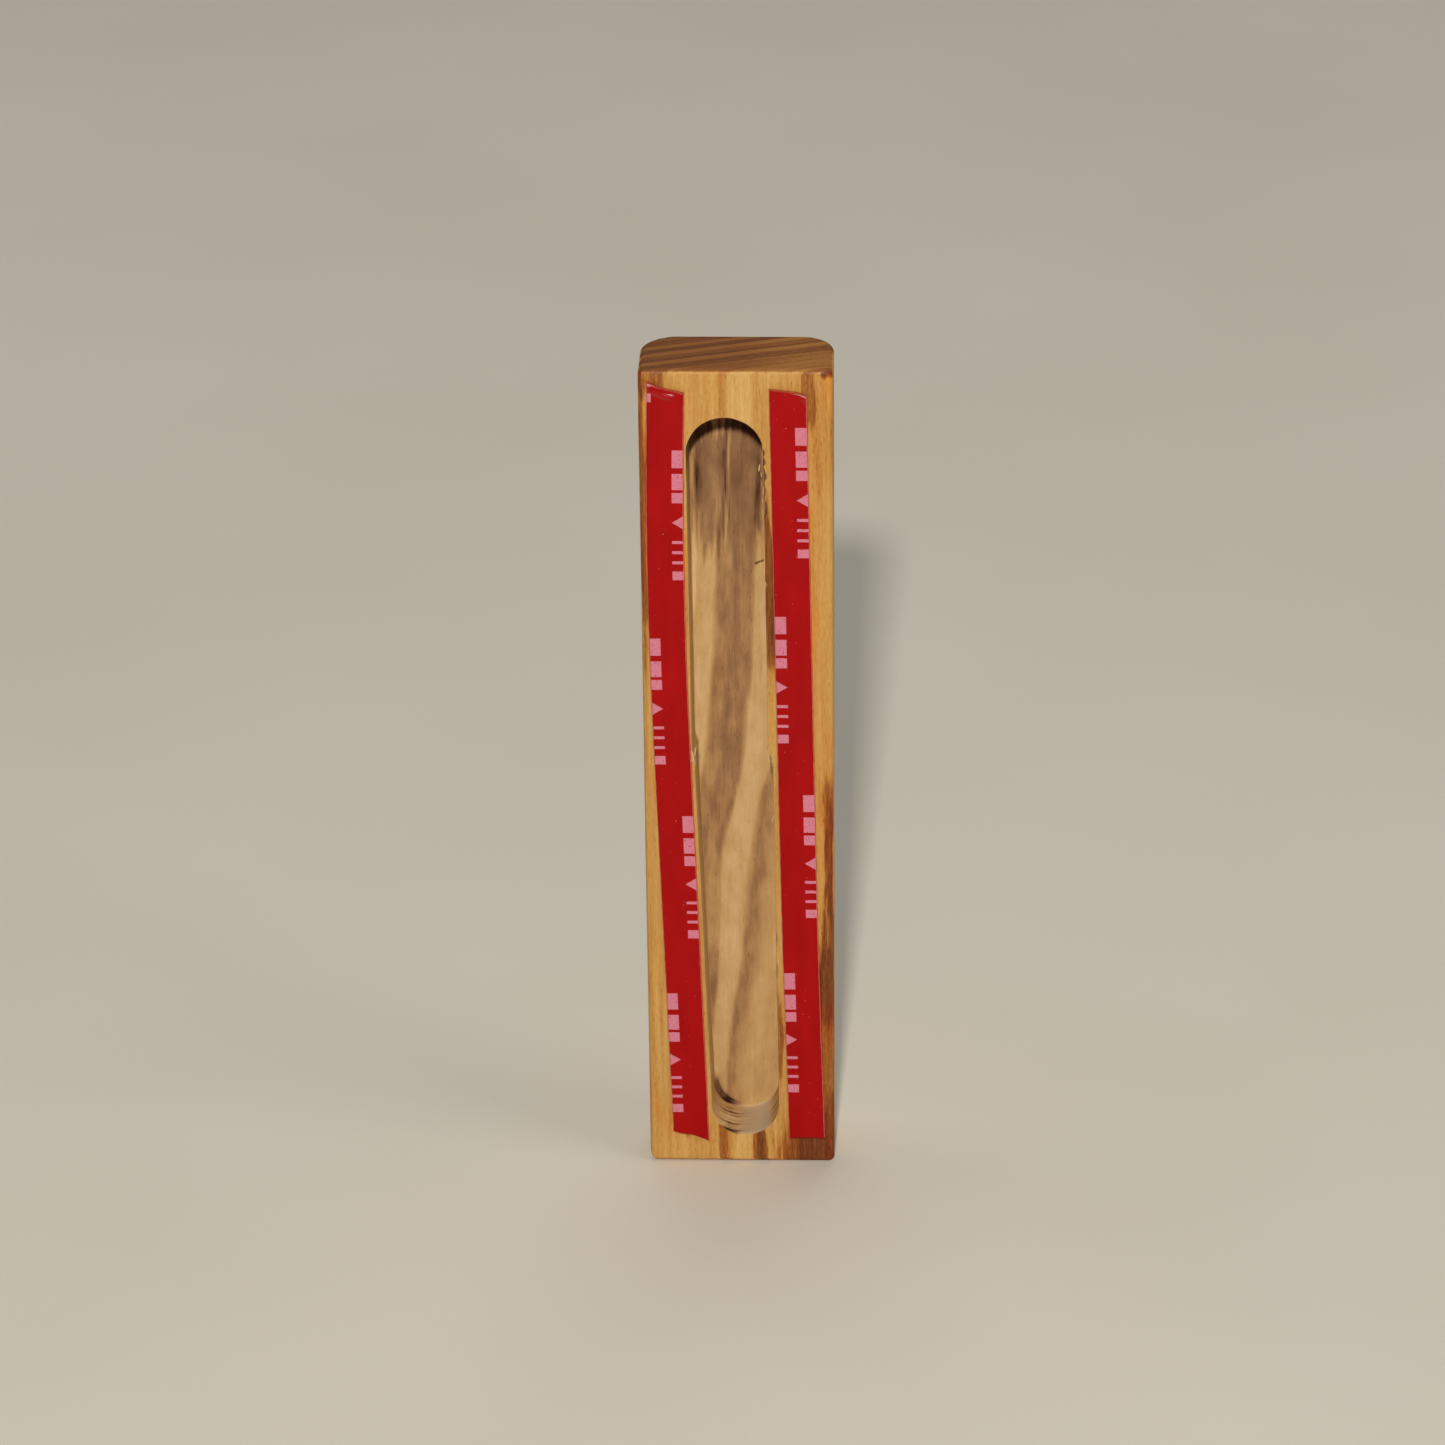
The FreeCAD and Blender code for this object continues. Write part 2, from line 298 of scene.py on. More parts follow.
def make_case():
    """The wooden body: one skin of rings from the pocket's floor, over the back, to the front."""
    starts, ways = columns()
    count = len(starts)
    # 1 along the pocket's right wall, -1 along its left and 0 round its ends.
    side = np.sign(ways[:, 0]) * (np.abs(ways[:, 1]) < 0.2)
    rim = ray_length(starts, ways, pocket_distance, RIM_FAR)
    edge = ray_length(starts, ways, outline_distance, OUTLINE_FAR)
    rim_spots = starts + rim[:, None] * ways
    rim_x, rim_z = rim_spots.T
    along_rim = np.stack([rim_x, np.zeros(count), rim_z], axis=1)
    # The rim wobbles all round, is ragged low on its right and is torn near its head.
    roughness = (
        (0.05, 1.0, (2.0, 2.0, 2.6), 1),
        (0.14, span(rim_z, (18.0, 26.0), (40.0, 50.0)) * (side > 0), (3.0, 3.0, 1.6), 2),
        (0.42, span(rim_z, (112.5, 115.0), (125.0, 127.5)) * (rim_x > 0), (1.3, 1.3, 0.9), 7),
    )
    for most, where, size, seed in roughness:
        rim = rim + most * where * noise_at(along_rim, size, seed)
    rings = []
    raw = []

    def ring(radius, y, rawness, depth=None):
        if depth is not None:
            radius = radius + chip_bite(side, rim_z, depth)
        spot = starts + np.asarray(radius)[:, None] * ways
        rings.append(np.stack([spot[:, 0], np.full(count, y), spot[:, 1]], axis=1))
        raw.append(np.full(count, rawness))

    floor_rim = rim - POCKET_DRAFT - FLOOR_FILLET
    for share in graded(1.0, *FLOOR_RINGS):
        ring(share * floor_rim, POCKET_FLOOR, 1.0)
    for turn in FILLET_TURNS:
        ring(floor_rim + FLOOR_FILLET * math.sin(turn),
             POCKET_FLOOR - FLOOR_FILLET * (1 - math.cos(turn)), 1.0)
    wall_top = BACK + RIM_ROUND
    wall_foot = POCKET_FLOOR - FLOOR_FILLET
    wall = wall_foot - wall_top
    for rise in graded(wall, WALL_STEP, ((wall, *WALL_FOOT_SPOT),))[1:]:
        ring(rim - POCKET_DRAFT * (1 - rise / wall), wall_foot - rise, 1.0,
             depth=wall_foot - rise - BACK)
    for turn in RIM_TURNS:
        ring(rim + RIM_ROUND * (1 - math.cos(turn)),
             BACK + RIM_ROUND * (1 - math.sin(turn)), 0.5 * math.cos(turn), depth=0.0)
    pocket_rings = len(rings)

    inner = rim + RIM_ROUND + chip_bite(side, rim_z, 0.0)
    for share in graded(1.0, *BACK_RINGS)[1:]:
        ring(inner + share * (edge - inner), BACK, 0.0)
    for inward in graded(DEPTH, *SIDE_RINGS)[1:]:
        ring(edge, BACK + inward, 0.0)
    for share in graded(1.0, *FRONT_RINGS)[1:]:
        ring(edge * (1 - share), FRONT, 0.0)

    points = np.concatenate(rings)
    raw = np.concatenate(raw)
    outside = np.arange(len(points)) >= pocket_rings * count
    points[outside] = onto_case(points[outside])
    points = uneven(points, raw)
    faces = [
        (row * count + k, row * count + (k + 1) % count,
         (row + 1) * count + (k + 1) % count, (row + 1) * count + k)
        for row in range(len(rings) - 1) for k in range(count)
    ]
    return new_object("olive_wood_case", points, faces, (
        ("raw", raw), ("scorch_and_shade", scorch_and_shade_marks(points, raw)), ("worn", rim_wear(points, raw)),
    ))


def uneven(points, raw):
    """Hand-sanded faces are never quite flat, and the routed pocket is a little rougher."""
    slow = noise_at(points, (9.0, 9.0, 24.0), 3)
    quick = noise_at(points, (1.6, 1.6, 7.0), 4)
    fuzz = noise_at(points, (0.7, 0.7, 2.4), 5)
    swell = 0.05 * slow + (0.012 + 0.02 * raw) * quick + 0.02 * raw * fuzz
    outward = points - (MIDDLE_X, MIDDLE_Y, 0.0)
    outward[:, 2] = 0.0
    outward[:, 0] *= DEPTH / WIDTH
    outward /= np.maximum(np.linalg.norm(outward, axis=1), 1.0)[:, None]
    in_pocket = raw > 0.6
    outward[in_pocket] = (0.0, -1.0, 0.0)
    return points + swell[:, None] * outward


def scorch_and_shade_marks(points, raw):
    """Darker wood: a crescent where the floor meets the wall at the pocket's foot, a scorch at its
    lip, a half-moon at its head that is part scorch and part painted shadow of the rim, and painted
    shade in the chips of its torn rim.
    """
    x, y, z = points.T
    foot_x, foot_z, foot_radius = LOWER_PASS[0]
    head_x, head_z, head_radius = UPPER_PASS[1]
    bearing = np.degrees(np.arctan2(z - foot_z, x - foot_x)) % 360
    from_foot = np.hypot(z - foot_z, x - foot_x)
    crescent = span(bearing, (166, 192), (228, 268))
    crescent *= smooth_step(from_foot, foot_radius - 1.0, foot_radius - 0.75)
    crescent *= smooth_step(y, POCKET_FLOOR - 1.3, POCKET_FLOOR - 0.6)
    lip = span(bearing, (225, 238), (252, 266)) * (1 - smooth_step(y, BACK + 0.5, BACK + 1.6))
    # The head's half-moon, what lies outside a circle set one radius lower, is part scorch and part
    # painted shadow: it follows the shadow that the rim casts on the floor.
    from_half_moon_centre = np.hypot(x - head_x, z - head_z + head_radius)
    head = smooth_step(from_half_moon_centre, head_radius - 0.1, head_radius + 0.8)
    head *= (z > head_z - head_radius) * (y > BACK + 1.0)
    # The torn stretch of the right rim is darkened as painted shade in its chips.
    torn = smooth_step(z, 112.0, 115.0) * (x > 1.0) * (1 - smooth_step(y, BACK + 0.9, BACK + 2.4))
    torn *= 0.5 + 0.5 * noise_at(points, (0.9, 0.9, 1.1), 8)
    return (0.95 * crescent + 0.7 * lip + 0.62 * head + 0.7 * torn) * (raw > 0.2)


def rim_wear(points, raw):
    """Rubbed, paler wood along the pocket's rim, but for its torn stretch, and on its floor."""
    x, y, z = points.T
    near_rim = 1 - smooth_step(y, BACK + 0.2, BACK + 1.6)
    near_rim *= 1 - smooth_step(z, 110.0, 114.0) * (x > 1.0)
    foot_line = smooth_step(y, POCKET_FLOOR - 1.2, POCKET_FLOOR - 0.3)
    patches = 0.5 + 0.5 * noise_at(points, (1.5, 1.5, 3.0), 6)
    return (0.7 * near_rim + 0.35 * foot_line) * patches * raw


# Torn fibres that stand at the pocket's edge: (x, y, z, length, thickness, lean, out).
SPLINTERS = (
    (-7.15, -6.6, 72.9, 2.6, 0.34, -0.35, 0.10),
    (-6.95, -6.2, 73.7, 1.8, 0.22, 0.30, 0.18),
    (4.80, -6.5, 72.7, 3.2, 0.28, -0.25, 0.05),
    (4.35, -6.1, 102.9, 1.5, 0.22, 1.10, 0.30),
    (3.55, -6.85, 122.4, 1.3, 0.26, 0.30, 0.22),
    (3.95, -6.75, 121.2, 0.9, 0.18, -0.45, 0.25),
    (4.15, -6.80, 118.6, 1.2, 0.17, 0.40, 0.22),
    (4.05, -6.70, 116.9, 0.8, 0.14, -0.30, 0.20),
    (5.10, -3.9, 61.0, 2.2, 0.16, 0.75, 0.50),
)


def make_splinters():
    """Each splinter is a curved sliver, thickest near its middle and drawn out to a point."""
    vertices = []
    faces = []
    sides = 6
    rows = 9
    for x, y, z, length, thickness, lean, out in SPLINTERS:
        start = len(vertices)
        for row in range(rows):
            share = row / (rows - 1)
            swell = math.sin(math.pi * min(0.999, 0.12 + 0.88 * share)) ** 0.7
            girth = thickness / 2 * swell + 0.01
            centre = (
                x + lean * length * 0.35 * share ** 1.6,
                y - out * share ** 2,
                z + length * (share - 0.5),
            )
            for k in range(sides):
                turn = 2 * math.pi * k / sides + share
                vertices.append((
                    centre[0] + girth * math.cos(turn),
                    centre[1] + 0.6 * girth * math.sin(turn),
                    centre[2],
                ))
        for row in range(rows - 1):
            for k in range(sides):
                a = start + row * sides + k
                b = start + row * sides + (k + 1) % sides
                faces.append((a, b, b + sides, a + sides))
        faces.append(tuple(range(start + sides - 1, start - 1, -1)))
        faces.append(tuple(range(start + (rows - 1) * sides, start + rows * sides)))
    looks = (("raw", 1.0), ("scorch_and_shade", 0.0), ("worn", 0.8))
    attributes = [(label, [value] * len(vertices)) for label, value in looks]
    return new_object("pocket_splinters", vertices, faces, attributes)


# ---------------------------------------------------------------- the tape strips

FOAM_FACE, FOAM_ROOT = (corner[1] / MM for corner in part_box("foam_tape_left"))
TAPE_WIDTH = 5.8
FILM = 0.09
FILM_GAP = 0.01
FILM_INSET = 0.11
# Each layer is a grid: rows up the strip, closer at its ends, and columns across it.
ROWS = (1.0 / 170, ((0.0, 0.02, 0.0015), (1.0, 0.01, 0.0004)))
COLUMNS = (1.0 / 24,)
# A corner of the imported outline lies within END_BAND of the strip's foot or head.
END_BAND = 3.0
FACE_BAND = 0.02


def strip_chains(node):
    """The two long edges of a tape strip, foot to head, read from its packed outline."""
    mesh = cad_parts[node].data
    corners = np.array([tuple(v.co) for v in mesh.vertices]) / MM
    face = corners[corners[:, 1] < corners[:, 1].min() + FACE_BAND][:, [0, 2]]
    face = np.unique(face.round(4), axis=0)
    foot_x, foot_z = face[face[:, 1] < face[:, 1].min() + END_BAND].mean(axis=0)
    head_x, head_z = face[face[:, 1] > face[:, 1].max() - END_BAND].mean(axis=0)
    middle = foot_x + (face[:, 1] - foot_z) * (head_x - foot_x) / (head_z - foot_z)
    chains = [face[face[:, 0] < middle], face[face[:, 0] >= middle]]
    return [chain[np.argsort(chain[:, 1])] for chain in chains]


def along_chain(chain, shares):
    """Points at the given shares of a chain's length."""
    steps = np.linalg.norm(np.diff(chain, axis=0), axis=1)
    grown = np.concatenate([[0.0], np.cumsum(steps)]) / steps.sum()
    return np.stack([np.interp(shares, grown, chain[:, axis]) for axis in (0, 1)], axis=1)


def make_strip(node, name, trim, seed, near, far, film=False):
    """One layer of a tape strip, trimmed by hand. It lies from near to far along Y, and as a
    film it ripples a little and curls up where the trim says so."""
    cut_head, cut_foot, lift = trim
    left, right = strip_chains(node)
    along = graded(1.0, *ROWS)
    across = graded(1.0, *COLUMNS)
    left_points = along_chain(left, along)
    right_points = along_chain(right, along)
    grid = []
    for row, share in enumerate(along):
        head_pull = smooth_step(share, 0.94, 1.0)
        foot_pull = 1 - smooth_step(share, 0.0, 0.06)
        for t in across:
            x, z = left_points[row] * (1 - t) + right_points[row] * t
            z += head_pull * cut_head(t) - foot_pull * cut_foot(t)
            grid.append((x, z, t, share))
    x, z, t, share = np.array(grid).T
    flat = np.stack([x, np.zeros(len(x)), z], axis=1)
    on_edge = np.abs(t - 0.5) > 0.499
    x = x + 0.05 * noise_at(flat, (3.0, 3.0, 1.1), seed) * on_edge
    rise = np.zeros(len(x))
    if film:
        x = x + FILM_INSET * (1 - 2 * t)
        length = np.linalg.norm(left[-1] - left[0])
        rise = np.array([lift(a, (1 - b) * length) for a, b in zip(t, share)])
        rise += np.abs(0.02 * noise_at(flat, (6.0, 1.0, 16.0), seed + 2))
    rows, cols = len(along), len(across)
    climb = np.gradient(rise.reshape(rows, cols), axis=0)
    climb = climb / np.gradient(z.reshape(rows, cols), axis=0)
    outer = np.stack([x, near - rise, z], axis=1)
    inner = np.stack([x, far - rise, z], axis=1)
    total = rows * cols
    faces = []
    for row in range(rows - 1):
        for col in range(cols - 1):
            a = row * cols + col
            faces.append((a, a + 1, a + cols + 1, a + cols))
            faces.append(tuple(total + k for k in (a, a + cols, a + cols + 1, a + 1)))
    loop = list(range(cols))
    loop += [row * cols + cols - 1 for row in range(1, rows)]
    loop += [(rows - 1) * cols + col for col in range(cols - 2, -1, -1)]
    loop += [row * cols for row in range(rows - 2, 0, -1)]
    for a, b in zip(loop, loop[1:] + loop[:1]):
        faces.append((a, total + a, total + b, b))
    width = np.linalg.norm(right_points - left_points, axis=1).mean()
    looks = (
        ("down", HEAD - z),
        ("from_left", t * width),
        ("from_right", (1 - t) * width),
        ("bent", smooth_step(np.abs(climb).ravel(), 0.12, 0.4)),
    )
    attributes = [(label, np.tile(values, 2)) for label, values in looks]
    return new_object(name, np.concatenate([outer, inner]), faces, attributes)


# How the strips were trimmed by hand. A cut gives how far the end stands past its packed
# line, and a lift how far the film stands off, both at t, from 0 at the strip's left edge to
# 1 at its right. All in millimetres.

def smooth_bump(value, low, high):
    """1 in the middle of a span and 0 at and beyond its ends."""
    share = (value - low) / (high - low)
    return math.sin(math.pi * share) ** 2 if 0 < share < 1 else 0.0


def fold(below, easing):
    """A fold's height below its line: a short facet that faces the light, then a long easing."""
    facet, slope = 0.3, 0.70
    return slope * min(max(below, 0.0), facet) * (1 - smooth_step(below, facet, facet + easing))


def curl(from_edge, from_head, across, down):
    """1 at a corner of the head, 0 beyond an oval that reaches across and down from it."""
    return max(0.0, 1 - math.hypot(from_edge / across, from_head / down))


def left_head_cut(t):
    """A hollow cut that sweeps up to the outer corner."""
    return 0.05 * (1 - t) ** 4 - 0.22 * math.sin(math.pi * min(1.0, t * 1.15)) ** 2


def left_foot_cut(t):
    """A wavy cut with a torn tip at the inner corner."""
    return 0.10 * math.sin(9 * t) + 0.35 * max(0.0, (t - 0.86) / 0.14) ** 1.5


def left_lift(t, from_head):
    """The outer corner of the head has curled up, with a crease below it."""
    corner = curl(t * TAPE_WIDTH, from_head, 2.7, 1.9)
    crease = fold(from_head - 0.62 + 0.35 * t, 1.1) * smooth_bump(t, 0.0, 0.9) ** 0.5
    return 0.42 * corner ** 1.4 + crease


def right_head_cut(t):
    """A slightly bowed cut that drops at the outer corner."""
    return 0.12 * math.sin(2.2 * t) - 0.25 * max(0.0, (t - 0.7) / 0.3) ** 2


def right_foot_cut(t):
    """A nearly straight cut."""
    return 0.06 * math.sin(7 * t + 1)


def right_lift(t, from_head):
    """The outer corner of the head has lifted a little."""
    return 0.4 * curl((1 - t) * TAPE_WIDTH, from_head, 2.6, 1.6) ** 1.3


# ---------------------------------------------------------------- material helpers

def linear(red, green, blue):
    """A colour given in the usual 0 to 255 steps, as the shader wants it."""
    return tuple(
        (c / 255 / 12.92) if c <= 10 else ((c / 255 + 0.055) / 1.055) ** 2.4
        for c in (red, green, blue)
    ) + (1.0,)


class Graph:
    """Short calls that build a material's node tree; sockets go in and a socket comes out."""

    def __init__(self, name):
        self.material = bpy.data.materials.new(name)
        self.material.use_nodes = True
        self.tree = self.material.node_tree
        self.shader = self.tree.nodes["Principled BSDF"]

    def plug(self, socket, value):
        if isinstance(value, bpy.types.NodeSocket):
            self.tree.links.new(value, socket)
        else:
            socket.default_value = value

    def math(self, operation, *values):
        node = self.tree.nodes.new("ShaderNodeMath")
        node.operation = operation
        for socket, value in zip(node.inputs, values):
            self.plug(socket, value)
        return node.outputs[0]

    def add(self, *values):
        total = values[0]
        for value in values[1:]:
            total = self.math("ADD", total, value)
        return total

    def times(self, a, b):
        return self.math("MULTIPLY", a, b)

    def less(self, a, b):
        return self.math("SUBTRACT", a, b)

    def line(self, value, slope, start):
        """start + slope * value"""
        return self.math("MULTIPLY_ADD", value, slope, start)

    def mix_number(self, share, a, b):
        """A number that runs from a to b as share runs from 0 to 1."""
        return self.line(share, self.less(b, a), a)

    def smooth(self, value, low, high):
        """0 below low, 1 above high, smooth between; low may be the larger of the two."""
        node = self.tree.nodes.new("ShaderNodeMapRange")
        node.interpolation_type = "SMOOTHSTEP"
        flip = low > high
        self.plug(node.inputs["Value"], value)
        node.inputs["From Min"].default_value = min(low, high)
        node.inputs["From Max"].default_value = max(low, high)
        node.inputs["To Min"].default_value = 1.0 if flip else 0.0
        node.inputs["To Max"].default_value = 0.0 if flip else 1.0
        return node.outputs[0]

    def attribute(self, name):
        node = self.tree.nodes.new("ShaderNodeAttribute")
        node.attribute_name = name
        return node.outputs["Fac"]

    def parts(self, vector):
        """The X, Y and Z of a vector."""
        node = self.tree.nodes.new("ShaderNodeSeparateXYZ")
        self.plug(node.inputs[0], vector)
        return list(node.outputs)

    def place(self):
        """The point's x, y and z in the frame, in millimetres."""
        coords = self.tree.nodes.new("ShaderNodeTexCoord").outputs["Object"]
        return [self.times(part, 1 / MM) for part in self.parts(coords)]

    def normal(self):
        """The x, y and z of the way the surface faces."""
        return self.parts(self.tree.nodes.new("ShaderNodeNewGeometry").outputs["Normal"])

    def noise(self, place, size, detail=2.0, shift=0.0):
        """Noise from 0 to 1 whose grain measures size along X, Y and Z."""
        scaled = self.tree.nodes.new("ShaderNodeCombineXYZ")
        for socket, value, grain in zip(scaled.inputs, place, size):
            self.plug(socket, self.line(value, 1 / grain, shift))
        node = self.tree.nodes.new("ShaderNodeTexNoise")
        node.inputs["Scale"].default_value = 1.0
        node.inputs["Detail"].default_value = detail
        self.plug(node.inputs["Vector"], scaled.outputs[0])
        return node.outputs["Fac"]

    def swing(self, place, size, detail=2.0, shift=0.0):
        """The same noise, from -0.5 to 0.5."""
        return self.less(self.noise(place, size, detail, shift), 0.5)

    def curve(self, value, points, low=0.0, high=1.0, sharp=False):
        """A curve through given (input, output) points; outputs lie between low and high."""
        first, last = points[0][0], points[-1][0]
        node = self.tree.nodes.new("ShaderNodeFloatCurve")
        share = self.math("DIVIDE", self.less(value, first), last - first)
        self.plug(node.inputs["Value"], share)
        line = node.mapping.curves[0]
        spots = [((a - first) / (last - first), (b - low) / (high - low)) for a, b in points]
        while len(line.points) < len(spots):
            line.points.new(0.5, 0.5)
        for point, spot in zip(line.points, spots):
            point.location = spot
            point.handle_type = "VECTOR" if sharp else "AUTO_CLAMPED"
        node.mapping.update()
        return self.line(node.outputs[0], high - low, low)

    def ramp(self, value, stops, constant=False):
        """Colours, given as 0 to 255 steps, at places from 0 to 1."""
        node = self.tree.nodes.new("ShaderNodeValToRGB")
        bar = node.color_ramp
        bar.interpolation = "CONSTANT" if constant else "LINEAR"
        while len(bar.elements) < len(stops):
            bar.elements.new(0.5)
        for element, (place, _) in zip(bar.elements, stops):
            element.position = place
        for element, (_, colour) in zip(bar.elements, stops):
            element.color = linear(*colour)
        self.plug(node.inputs[0], value)
        return node.outputs["Color"]

    def mix(self, share, a, b, blend="MIX"):
        """A colour that runs from a to b as share runs from 0 to 1."""
        node = self.tree.nodes.new("ShaderNodeMix")
        node.data_type = "RGBA"
        node.blend_type = blend
        self.plug(node.inputs[0], share)
        self.plug(node.inputs[6], a)
        self.plug(node.inputs[7], b)
        return node.outputs[2]

    def bump(self, height, depth, strength):
        """A bumpy normal; depth is in millimetres."""
        node = self.tree.nodes.new("ShaderNodeBump")
        node.inputs["Distance"].default_value = depth * MM
        node.inputs["Strength"].default_value = strength
        self.plug(node.inputs["Height"], height)
        return node.outputs[0]

    def set(self, **values):
        """Sets the shader's own sockets; an underscore in a name stands for a space."""
        for name, value in values.items():
            self.plug(self.shader.inputs[name.replace("_", " ")], value)
        return self.material


# ---------------------------------------------------------------- olive wood

# The growth layers rise gently from the back face's left edge to the front's right edge:
# a layer moves DIP millimetres along X for each millimetre of depth.
DIP = 2.9
FLOOR_SHIFT = DIP * POCKET_DEPTH
DARKEST_FIGURE = 0.70

# How far the layers that show on the pocket's floor lie along X, by height.
LAYER_DRIFT = (
    (-5, -5.5), (14, -5.3), (22, -4.9), (28, -4.3), (38, -3.8), (50, -3.4), (56, -2.6),
    (62, -1.3), (70, 0.5), (77, 0.9), (89, 2.0), (102, 2.5), (125, 3.9), (145, 4.6),
)
# How many times closer the layers right of the middle one lie, by height.
LAYER_SQUEEZE = (
    (-5, 1.8), (12, 1.8), (17, 1.6), (25, 1.5), (32, 1.25), (40, 1.1), (50, 1.0), (145, 1.0),
)

# Darkness, 0 palest to 1 darkest, across the layers that show on the pocket's floor and
# further inside, by millimetres from the right edge of the floor's grey-brown band.
INNER_TONE = (
    (-36, 0.55), (-33, 0.30), (-30, 0.62), (-28, 0.40), (-25, 0.30), (-22.5, 0.66), (-20, 0.52),
    (-18, 0.26), (-15.5, 0.34), (-14, 0.62), (-12, 0.55), (-10.2, 0.50), (-9.7, 0.26), (-8, 0.14),
    (-6.2, 0.16), (-5.7, 0.46), (-5.2, 0.53), (-4.3, 0.49), (-3.2, 0.58), (-1.6, 0.50),
    (-0.6, 0.56), (-0.1, 0.46), (0.35, 0.18), (2.4, 0.16), (4.2, 0.20), (4.7, 0.42), (5.4, 0.53),
    (6.6, 0.49), (8.0, 0.38), (9.6, 0.26), (12, 0.22), (15, 0.30), (19, 0.24), (24, 0.28),
)
# The same across the layers that crop out on the back face, by X there.
OUTER_TONE = (
    (-17, 0.34), (-14.4, 0.26), (-13.6, 0.22), (-12.2, 0.24), (-9, 0.22), (-6.5, 0.27), (-4, 0.24),
    (-2.7, 0.28), (-2.1, 0.38), (-1.5, 0.28), (-0.6, 0.16), (1.6, 0.14), (2.6, 0.24), (3.2, 0.34),
    (3.8, 0.24), (6, 0.22), (8.5, 0.26), (10.4, 0.30), (12.5, 0.28), (14.2, 0.26), (17, 0.34),
)

# Figure that comes and goes along the block, and one spot of painted shade on the floor: (x,
# height, half width, half height, lean, change in darkness), with x where the layer meets the back
# face or the pocket's floor.
BACK_FIGURE = (
    (-13.4, 138.0, 2.6, 4.0, 0.00, 0.26),
    (-14.9, 114.0, 1.5, 22.0, 0.00, 0.30),
    (11.3, 136.5, 0.9, 7.5, -0.03, 0.20),
    (12.8, 127.0, 1.5, 9.0, 0.00, 0.10),
    (13.8, 138.9, 1.3, 1.7, 0.00, 0.40),
    (14.7, 62.5, 2.0, 7.5, -0.10, 0.24),
    (15.2, 52.0, 1.7, 13.0, -0.02, 0.42),
    (14.6, 22.0, 2.4, 24.0, 0.01, 0.28),
    (14.5, 38.0, 2.1, 12.0, 0.00, 0.28),
    (11.4, 1.0, 5.4, 10.0, 0.02, 0.40),
    (-2.9, 3.0, 0.75, 10.0, 0.01, 0.26),
    (3.0, 1.5, 1.15, 7.0, 0.03, 0.34),
    (5.2, 101.0, 1.4, 15.0, -0.02, 0.40),
    (6.0, 24.0, 1.0, 8.5, -0.04, 0.26),
    (-9.0, 9.5, 0.9, 4.5, 0.00, 0.36),
)
FLOOR_FIGURE_AND_SHADE = (
    (-4.7, 116.0, 2.9, 11.5, 0.02, 0.40),
    (-6.3, 115.5, 0.5, 3.6, 0.00, 0.14),
    # Painted shade: the floor is darker just below the head's rim, where less light reaches.
    (1.0, 121.0, 3.8, 13.0, 0.00, 0.12),
    (-1.75, 116.0, 0.30, 12.0, 0.04, -0.24),
    (-8.0, 72.0, 1.0, 16.0, -0.01, 0.20),
    (-7.6, 104.0, 0.8, 18.0, 0.00, -0.30),
    (4.3, 112.5, 1.6, 10.0, 0.00, 0.26),
    (-5.2, 43.0, 1.5, 12.0, 0.00, -0.12),
    (12.0, 7.0, 0.9, 5.0, 0.00, 0.40),
    (7.4, 7.0, 0.8, 4.5, 0.00, 0.30),
)
# A spot is gone at the first of these shares of its squared size, and whole at the second.
SPOT_EDGE = (1.6, 0.35)
# Layers that would meet the back face left of here, past its left edge, are the inner ones.
INNER_EDGE = (-15.5, -17.5)


def add_tone_spots(g, tone, across, height, ragged, spots):
    """Changes the tone inside long soft-edged spots; ragged frays their edges."""
    for middle, level, half_width, half_height, lean, change in spots:
        rise = g.less(height, level)
        off = g.less(across, g.line(rise, lean, middle))
        ring = g.add(
            g.math("POWER", g.math("DIVIDE", off, half_width), 2.0),
            g.math("POWER", g.math("DIVIDE", rise, half_height), 2.0),
            ragged,
        )
        tone = g.line(g.smooth(ring, *SPOT_EDGE), change, tone)
    return tone


def layer_tone(g, place, outer):
    """How dark the growth layers are; outer is where along X a layer meets the back face."""
    height = place[2]
    at_floor = g.add(outer, FLOOR_SHIFT)
    inner = g.less(at_floor, g.curve(height, LAYER_DRIFT, low=-8.0, high=8.0))
    squeeze = g.curve(height, LAYER_SQUEEZE, low=0.0, high=4.0)
    inner = g.times(inner, g.mix_number(g.smooth(inner, 0.0, 1.5), 1.0, squeeze))
    ragged = g.times(g.swing(place, (0.8, 0.8, 9.0), shift=14.0), 2.4)
    inner_tone = g.curve(inner, INNER_TONE, sharp=True)
    inner_tone = add_tone_spots(g, inner_tone, at_floor, height, ragged, FLOOR_FIGURE_AND_SHADE)
    outer_tone = g.curve(outer, OUTER_TONE)
    outer_tone = add_tone_spots(g, outer_tone, outer, height, ragged, BACK_FIGURE)
    outer_tone = g.math("MINIMUM", outer_tone, DARKEST_FIGURE)
    return g.mix_number(g.smooth(outer, *INNER_EDGE), outer_tone, inner_tone)


# The nick's middle, its rise for each millimetre across, and where its ends and its sides
# fade: gone at the first distance, whole at the second.
NICK_X, NICK_Z = 3.25, 102.65
NICK_LEAN = 0.45
NICK_ENDS = (0.85, 0.55)
NICK_SIDES = (0.26, 0.08)


def nick_mask(g, place, raw):
    """A short torn line across the pocket's floor, close to its right wall."""
    x, _, z = place
    across = g.less(x, NICK_X)
    off = g.less(g.less(z, NICK_Z), g.times(across, NICK_LEAN))
    off = g.math("ABSOLUTE", g.line(g.swing(place, (0.4, 0.4, 0.4), shift=41.0), 0.5, off))
    sides = g.smooth(off, *NICK_SIDES)
    ends = g.smooth(g.math("ABSOLUTE", across), *NICK_ENDS)
    return g.times(g.times(sides, ends), raw)


# The oiled and the bare wood's colours, by tone.
OILED = (
    (0.00, (232, 190, 118)), (0.20, (214, 165, 90)), (0.38, (198, 138, 64)),
    (0.52, (160, 95, 38)), (0.70, (117, 60, 24)), (0.88, (84, 41, 17)), (1.00, (56, 28, 13)),
)
BARE = (
    (0.00, (228, 194, 142)), (0.20, (208, 170, 112)), (0.38, (190, 148, 98)),
    (0.52, (160, 120, 82)), (0.70, (128, 90, 60)), (0.88, (88, 54, 34)), (1.00, (54, 26, 13)),
)


